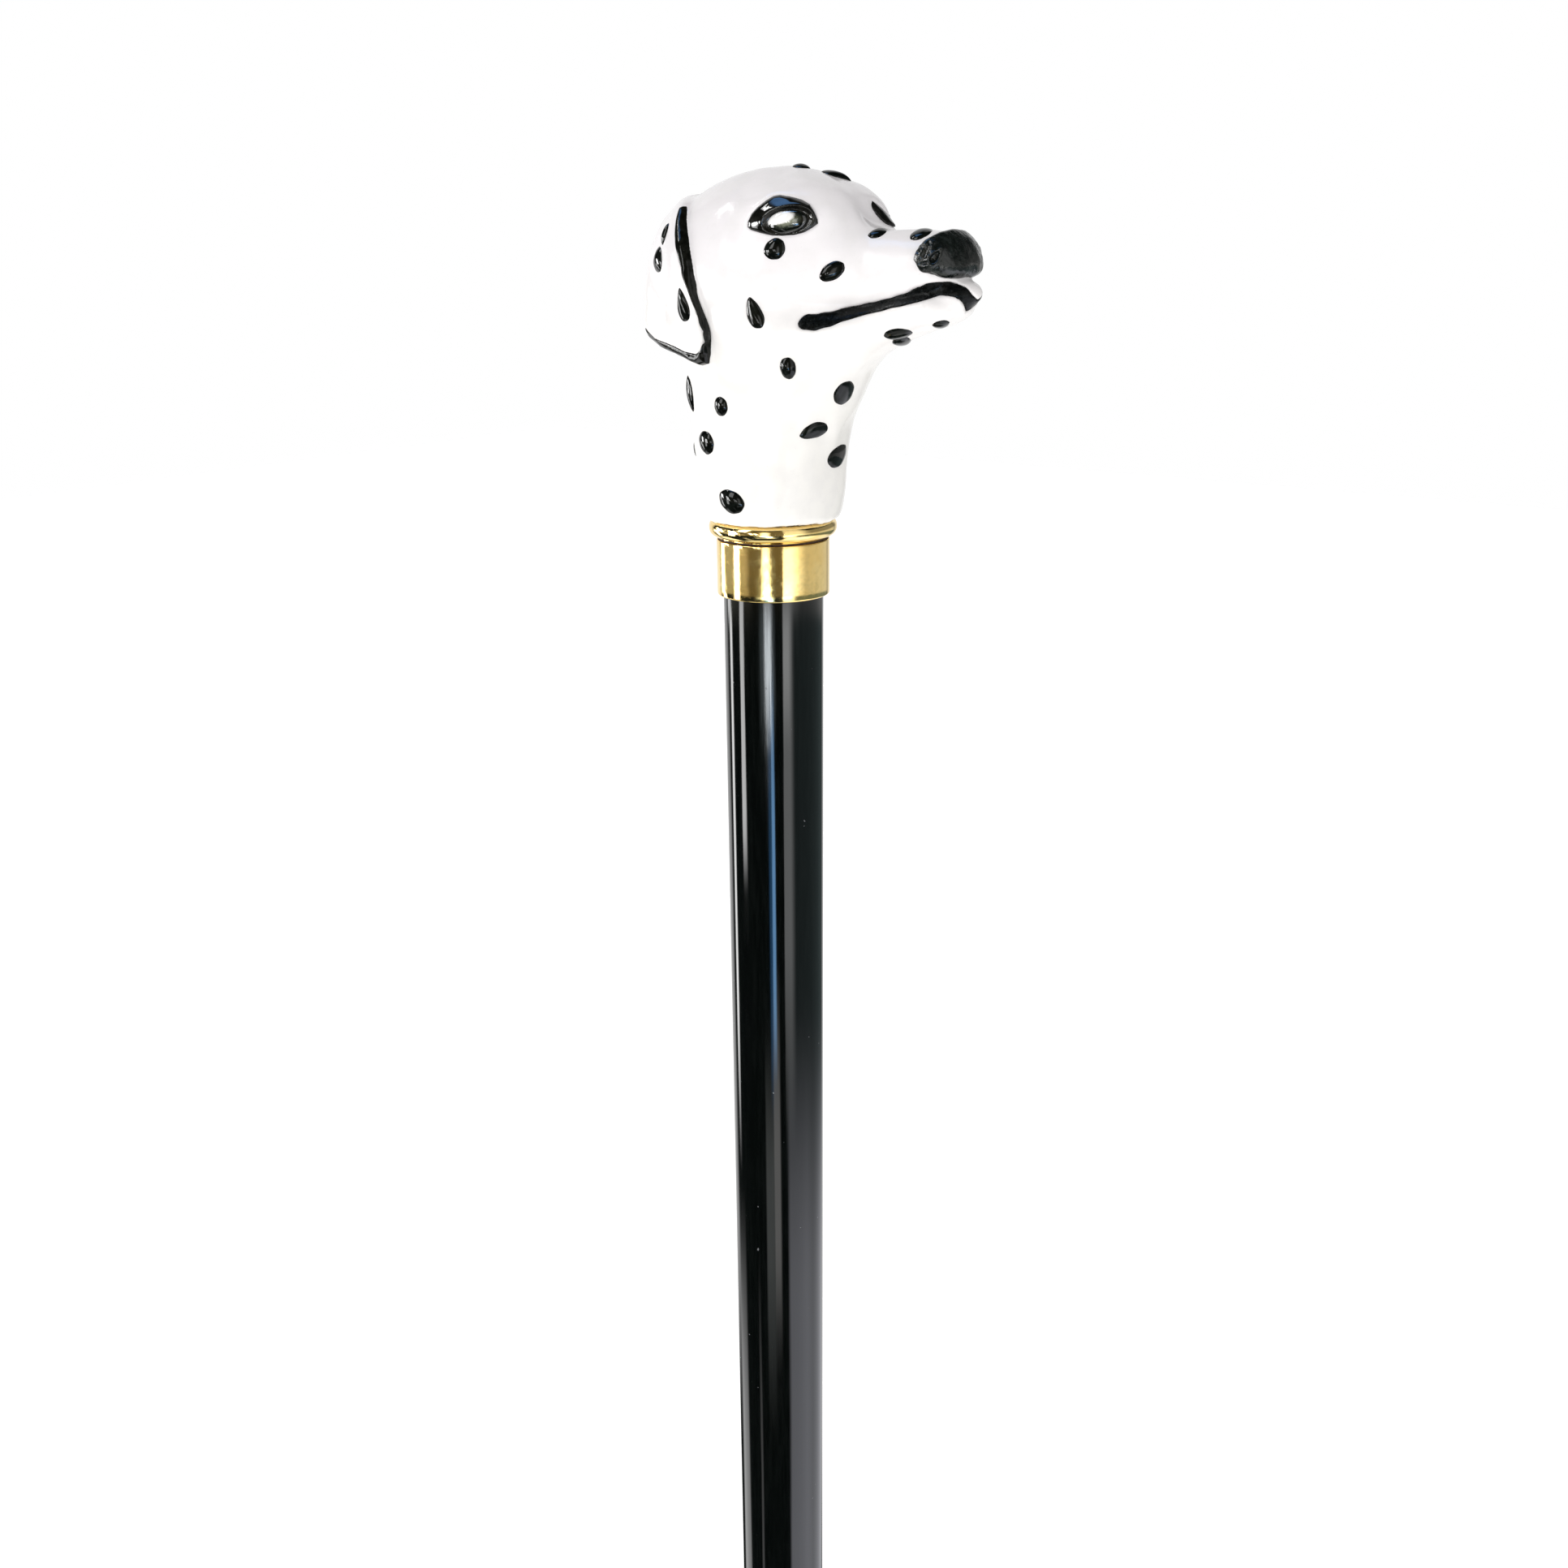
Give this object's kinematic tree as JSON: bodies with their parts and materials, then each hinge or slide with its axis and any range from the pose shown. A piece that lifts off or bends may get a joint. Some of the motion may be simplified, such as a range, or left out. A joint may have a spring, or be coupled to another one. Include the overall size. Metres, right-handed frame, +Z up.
{
  "type": "walking stick",
  "caption": "Walking stick with an enamelled dog's-head handle that unscrews, a gold collar, a slim tapered black shaft and a push-on rubber ferrule.",
  "frame": {"origin": "centre of the rubber ferrule's ground face, on the shaft's axis", "axes": "+Z up the shaft to the head, +X the way the dog looks, -Y the dog's right, which the picture shows"},
  "size_m": [0.068, 0.037, 0.9204],
  "materials": {
    "white_enamel": "glossy warm white enamel over a hollow cast head",
    "black_enamel": "glossy black enamel, slightly domed",
    "nose_enamel": "glossy near-black enamel",
    "eye_enamel": "clear-coated dark olive eye with a pale centre",
    "gold_plate": "polished gold plating",
    "brass": "turned",
    "steel": "zinc-plated, plain",
    "dark_fibre": "dark brown, matte",
    "black_lacquer": "high-gloss black lacquer over beech",
    "black_rubber": "moulded, matte"
  },
  "bodies": {
    "stick": {"shaft": "black_lacquer", "shaft_insert": "brass", "head_stud": "steel", "collar_sleeve": "gold_plate"},
    "lift": {"seat_washer": "dark_fibre"},
    "head": {"head_casting": "white_enamel", "neck_plug": "brass", "collar_bead_ring": "gold_plate", "ear_edge_left": "black_enamel", "ear_edge_right": "black_enamel", "eye_left": "eye_enamel", "eye_right": "eye_enamel", "eye_rim_left": "black_enamel", "eye_rim_right": "black_enamel", "mouth_line": "black_enamel", "nose_enamel": "nose_enamel", "spot_beside_nose": "black_enamel", "spot_bridge": "black_enamel", "spot_cheek_left": "black_enamel", "spot_cheek_right": "black_enamel", "spot_chin": "black_enamel", "spot_crown_back": "black_enamel", "spot_crown_front": "black_enamel", "spot_crown_rear": "black_enamel", "spot_ear_left_lower": "black_enamel", "spot_ear_left_upper": "black_enamel", "spot_ear_right_lower": "black_enamel", "spot_ear_right_mid": "black_enamel", "spot_ear_right_upper": "black_enamel", "spot_jaw_under": "black_enamel", "spot_muzzle_left": "black_enamel", "spot_muzzle_right": "black_enamel", "spot_nape_lower": "black_enamel", "spot_nape_upper": "black_enamel", "spot_neck_base": "black_enamel", "spot_neck_front_low": "black_enamel", "spot_neck_front_mid": "black_enamel", "spot_neck_front_upper": "black_enamel", "spot_neck_left_low": "black_enamel", "spot_neck_left_mid": "black_enamel", "spot_neck_left_upper": "black_enamel", "spot_neck_lower_right": "black_enamel", "spot_neck_mid": "black_enamel", "spot_neck_side_back": "black_enamel", "spot_neck_upper": "black_enamel", "spot_temple_left": "black_enamel", "spot_under_eye": "black_enamel"},
    "foot": {"ferrule_rubber": "black_rubber", "ferrule_washer": "steel"}
  },
  "joints": [
    {"name": "head_lift", "type": "slide", "parent": "stick", "child": "lift", "axis": [0, 0, 1], "range_m": [0, 0.0166]},
    {"name": "head_turn", "type": "hinge", "parent": "lift", "child": "head", "pos_m": [0, 0, 0.8508], "axis": [0, 0, 1], "range_deg": [0, 3960]},
    {"name": "ferrule_pull", "type": "slide", "parent": "stick", "child": "foot", "axis": [0, 0, -1], "range_m": [0, 0.03]}
  ],
  "couplings": [
    {"joint": "head_lift", "follows": "head_turn", "m_per_rad": 0.00023873}
  ]
}
